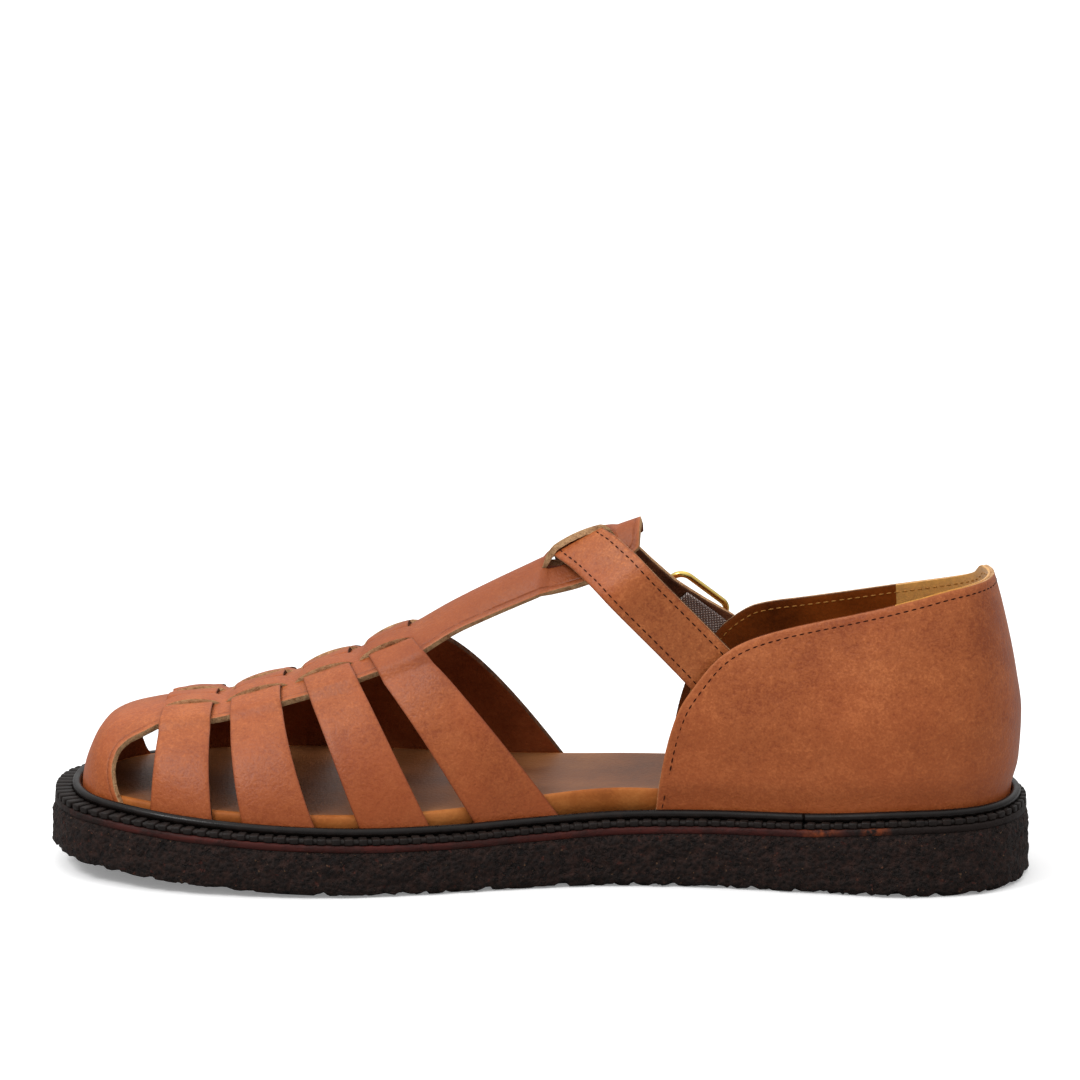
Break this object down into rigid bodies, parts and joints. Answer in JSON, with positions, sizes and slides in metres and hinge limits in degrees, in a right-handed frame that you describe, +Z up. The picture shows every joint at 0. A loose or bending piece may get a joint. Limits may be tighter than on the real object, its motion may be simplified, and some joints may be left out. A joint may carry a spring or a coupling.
{
  "type": "fisherman sandal",
  "caption": "Right tan leather fisherman sandal with woven cross straps, a T-bar, a buckled ankle strap, a closed heel and a black crepe sole.",
  "frame": {"origin": "on the ground, under the centre of the bounding box", "axes": "+Z up, toe towards -X and heel towards +X, inner side towards -Y, outer side towards +Y"},
  "size_m": [0.272, 0.1006, 0.0981],
  "materials": {
    "crepe": "matt crumbly crepe rubber, brown black",
    "midsole": "satin, dark red brown",
    "welt": "semi-gloss black",
    "insole": "smooth waxed lining leather, light tan",
    "upper": "waxy matt leather, cognac brown, raw tan edges",
    "elastic": "woven elastic web, grey mauve",
    "brass": "polished brass"
  },
  "bodies": {
    "root": {"outsole": "crepe", "midsole": "midsole", "welt": "welt", "insole": "insole", "upper_front": "upper", "heel_quarter": "upper", "ankle_strap": "upper", "elastic_tab": "elastic", "buckle_frame": "brass", "buckle_prong": "brass"}
  },
  "joints": []
}
